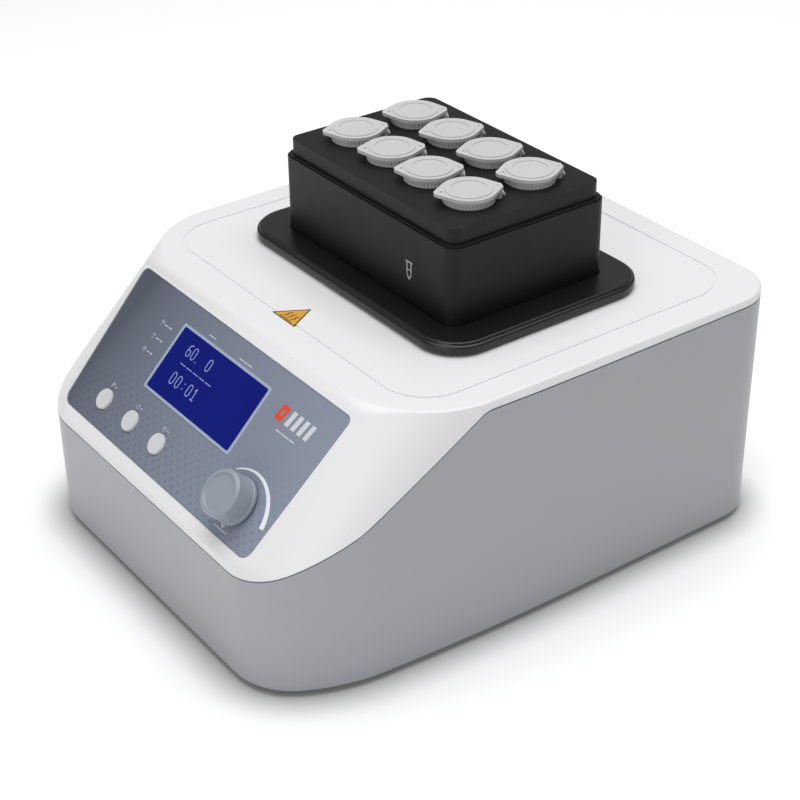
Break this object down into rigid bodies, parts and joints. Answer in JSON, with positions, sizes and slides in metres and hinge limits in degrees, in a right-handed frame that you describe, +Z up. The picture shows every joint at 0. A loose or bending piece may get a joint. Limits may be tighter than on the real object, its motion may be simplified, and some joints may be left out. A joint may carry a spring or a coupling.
{
  "type": "dry block heater",
  "caption": "Benchtop dry block heater with a sloping control panel, a push knob and keys, and an orbiting heated block that holds capped sample tubes.",
  "frame": {"origin": "centre of the footprint on the bench surface, under the rubber feet", "axes": "+X to the operator's right, +Y from the control panel to the rear, +Z up"},
  "size_m": [0.22, 0.2604, 0.1694],
  "materials": {
    "cover_white": "satin",
    "housing_grey": "fine texture",
    "overlay_slate": "printed membrane",
    "lcd_blue": "backlit display window",
    "key_grey": "satin",
    "knob_grey": "satin",
    "black_plastic": "moulded",
    "flange_black": "satin",
    "black_anodised": "black anodised",
    "bare_aluminium": "machined",
    "steel": "zinc plated",
    "circuit_board": "solder mask",
    "foot_rubber": "moulded",
    "insulation": "felt",
    "heater_polyimide": "film",
    "tube_plastic": "translucent polypropylene"
  },
  "bodies": {
    "housing": {"lower_housing": "housing_grey", "top_cover": "cover_white", "base_plate": "steel", "case_screws": "steel", "rubber_feet": "foot_rubber", "foot_screws": "steel", "panel_overlay": "overlay_slate", "lcd_window": "lcd_blue", "lcd_module": "steel", "control_board": "circuit_board", "board_screws": "steel", "key_switches": "black_plastic", "encoder_body": "steel", "main_board": "circuit_board", "board_standoffs": "steel", "power_supply": "bare_aluminium", "motor_bracket": "steel", "motor": "black_plastic", "power_inlet": "black_plastic", "inlet_pins": "steel", "switch_frame": "black_plastic"},
    "key_1": {"button_1": "key_grey"},
    "key_2": {"button_2": "key_grey"},
    "key_3": {"button_3": "key_grey"},
    "knob_plunger": {"encoder_plunger": "black_plastic"},
    "knob": {"knob": "knob_grey", "encoder_shaft": "steel"},
    "drive": {"motor_shaft": "steel", "eccentric": "steel"},
    "platform": {"shaker_platform": "bare_aluminium", "drive_bearing": "steel", "insulation_pad": "insulation", "heater_film": "heater_polyimide", "heater_plate": "bare_aluminium", "heater_screws": "steel", "temperature_probe": "steel"},
    "idler_1": {"idler_1": "steel"},
    "idler_2": {"idler_2": "steel"},
    "idler_3": {"idler_3": "steel"},
    "idler_4": {"idler_4": "steel"},
    "block": {"heating_block": "black_anodised", "block_flange": "flange_black"},
    "tube_1": {"tube_1": "tube_plastic"},
    "cap_1": {"cap_1": "tube_plastic"},
    "tube_2": {"tube_2": "tube_plastic"},
    "cap_2": {"cap_2": "tube_plastic"},
    "tube_3": {"tube_3": "tube_plastic"},
    "cap_3": {"cap_3": "tube_plastic"},
    "tube_4": {"tube_4": "tube_plastic"},
    "cap_4": {"cap_4": "tube_plastic"},
    "tube_5": {"tube_5": "tube_plastic"},
    "cap_5": {"cap_5": "tube_plastic"},
    "tube_6": {"tube_6": "tube_plastic"},
    "cap_6": {"cap_6": "tube_plastic"},
    "tube_7": {"tube_7": "tube_plastic"},
    "cap_7": {"cap_7": "tube_plastic"},
    "tube_8": {"tube_8": "tube_plastic"},
    "cap_8": {"cap_8": "tube_plastic"},
    "fuse_drawer": {"fuse_drawer": "black_plastic"},
    "rocker": {"power_rocker": "black_plastic"}
  },
  "joints": [
    {"name": "button_1_press", "type": "slide", "parent": "housing", "child": "key_1", "axis": [0, 0.7071, -0.7071], "range_m": [0, 0.0008], "stiffness_N_per_m": 400, "springref_m": -0.0008},
    {"name": "button_2_press", "type": "slide", "parent": "housing", "child": "key_2", "axis": [0, 0.7071, -0.7071], "range_m": [0, 0.0008], "stiffness_N_per_m": 400, "springref_m": -0.0008},
    {"name": "button_3_press", "type": "slide", "parent": "housing", "child": "key_3", "axis": [0, 0.7071, -0.7071], "range_m": [0, 0.0008], "stiffness_N_per_m": 400, "springref_m": -0.0008},
    {"name": "knob_push", "type": "slide", "parent": "housing", "child": "knob_plunger", "axis": [0, 0.7071, -0.7071], "range_m": [0, 0.0005], "stiffness_N_per_m": 900, "springref_m": -0.001},
    {"name": "knob_turn", "type": "hinge", "parent": "knob_plunger", "child": "knob", "pos_m": [0.0542, -0.11492, 0.07318], "axis": [0, -0.7071, 0.7071], "continuous": true},
    {"name": "drive_spin", "type": "hinge", "parent": "housing", "child": "drive", "pos_m": [-0.0015, 0.02775, 0.06], "axis": [0, 0, 1], "continuous": true},
    {"name": "platform_orbit", "type": "hinge", "parent": "drive", "child": "platform", "pos_m": [0, 0.02775, 0.085], "axis": [0, 0, 1], "continuous": true},
    {"name": "idler_1_spin", "type": "hinge", "parent": "housing", "child": "idler_1", "pos_m": [-0.0475, -0.00225, 0.05], "axis": [0, 0, 1], "continuous": true},
    {"name": "idler_2_spin", "type": "hinge", "parent": "housing", "child": "idler_2", "pos_m": [0.0445, -0.00225, 0.05], "axis": [0, 0, 1], "continuous": true},
    {"name": "idler_3_spin", "type": "hinge", "parent": "housing", "child": "idler_3", "pos_m": [-0.0475, 0.05775, 0.05], "axis": [0, 0, 1], "continuous": true},
    {"name": "idler_4_spin", "type": "hinge", "parent": "housing", "child": "idler_4", "pos_m": [0.0445, 0.05775, 0.05], "axis": [0, 0, 1], "continuous": true},
    {"name": "block_lift", "type": "slide", "parent": "platform", "child": "block", "axis": [0, 0, 1], "range_m": [0, 0.08]},
    {"name": "tube_1_lift", "type": "slide", "parent": "block", "child": "tube_1", "axis": [0, 0, 1], "range_m": [0, 0.055]},
    {"name": "cap_1_open", "type": "hinge", "parent": "tube_1", "child": "cap_1", "pos_m": [-0.03468, 0.0248, 0.16575], "axis": [-0.9205, 0.3907, 0], "range_deg": [0, 110]},
    {"name": "tube_2_lift", "type": "slide", "parent": "block", "child": "tube_2", "axis": [0, 0, 1], "range_m": [0, 0.055]},
    {"name": "cap_2_open", "type": "hinge", "parent": "tube_2", "child": "cap_2", "pos_m": [-0.00598, 0.02388, 0.16575], "axis": [-0.8572, 0.515, 0], "range_deg": [0, 110]},
    {"name": "tube_3_lift", "type": "slide", "parent": "block", "child": "tube_3", "axis": [0, 0, 1], "range_m": [0, 0.055]},
    {"name": "cap_3_open", "type": "hinge", "parent": "tube_3", "child": "cap_3", "pos_m": [0.02156, 0.02347, 0.16575], "axis": [-0.829, 0.5592, 0], "range_deg": [0, 110]},
    {"name": "tube_4_lift", "type": "slide", "parent": "block", "child": "tube_4", "axis": [0, 0, 1], "range_m": [0, 0.055]},
    {"name": "cap_4_open", "type": "hinge", "parent": "tube_4", "child": "cap_4", "pos_m": [0.04578, 0.02489, 0.16575], "axis": [-0.9272, 0.3746, 0], "range_deg": [0, 110]},
    {"name": "tube_5_lift", "type": "slide", "parent": "block", "child": "tube_5", "axis": [0, 0, 1], "range_m": [0, 0.055]},
    {"name": "cap_5_open", "type": "hinge", "parent": "tube_5", "child": "cap_5", "pos_m": [-0.03288, 0.05648, 0.16575], "axis": [-0.8572, 0.515, 0], "range_deg": [0, 110]},
    {"name": "tube_6_lift", "type": "slide", "parent": "block", "child": "tube_6", "axis": [0, 0, 1], "range_m": [0, 0.055]},
    {"name": "cap_6_open", "type": "hinge", "parent": "tube_6", "child": "cap_6", "pos_m": [-0.00802, 0.05749, 0.16575], "axis": [-0.9272, 0.3746, 0], "range_deg": [0, 110]},
    {"name": "tube_7_lift", "type": "slide", "parent": "block", "child": "tube_7", "axis": [0, 0, 1], "range_m": [0, 0.055]},
    {"name": "cap_7_open", "type": "hinge", "parent": "tube_7", "child": "cap_7", "pos_m": [0.01912, 0.0574, 0.16575], "axis": [-0.9205, 0.3907, 0], "range_deg": [0, 110]},
    {"name": "tube_8_lift", "type": "slide", "parent": "block", "child": "tube_8", "axis": [0, 0, 1], "range_m": [0, 0.055]},
    {"name": "cap_8_open", "type": "hinge", "parent": "tube_8", "child": "cap_8", "pos_m": [0.04555, 0.05759, 0.16575], "axis": [-0.9336, 0.3584, 0], "range_deg": [0, 110]},
    {"name": "fuse_drawer_pull", "type": "slide", "parent": "housing", "child": "fuse_drawer", "axis": [0, 1, 0], "range_m": [0, 0.018]},
    {"name": "power_rocker_tilt", "type": "hinge", "parent": "housing", "child": "rocker", "pos_m": [-0.01, 0.1244, 0.0375], "axis": [1, 0, 0], "range_deg": [-14, 0]}
  ],
  "couplings": [
    {"joint": "platform_orbit", "follows": "drive_spin", "ratio": -1},
    {"joint": "idler_1_spin", "follows": "drive_spin", "ratio": 1},
    {"joint": "idler_2_spin", "follows": "drive_spin", "ratio": 1},
    {"joint": "idler_3_spin", "follows": "drive_spin", "ratio": 1},
    {"joint": "idler_4_spin", "follows": "drive_spin", "ratio": 1}
  ]
}
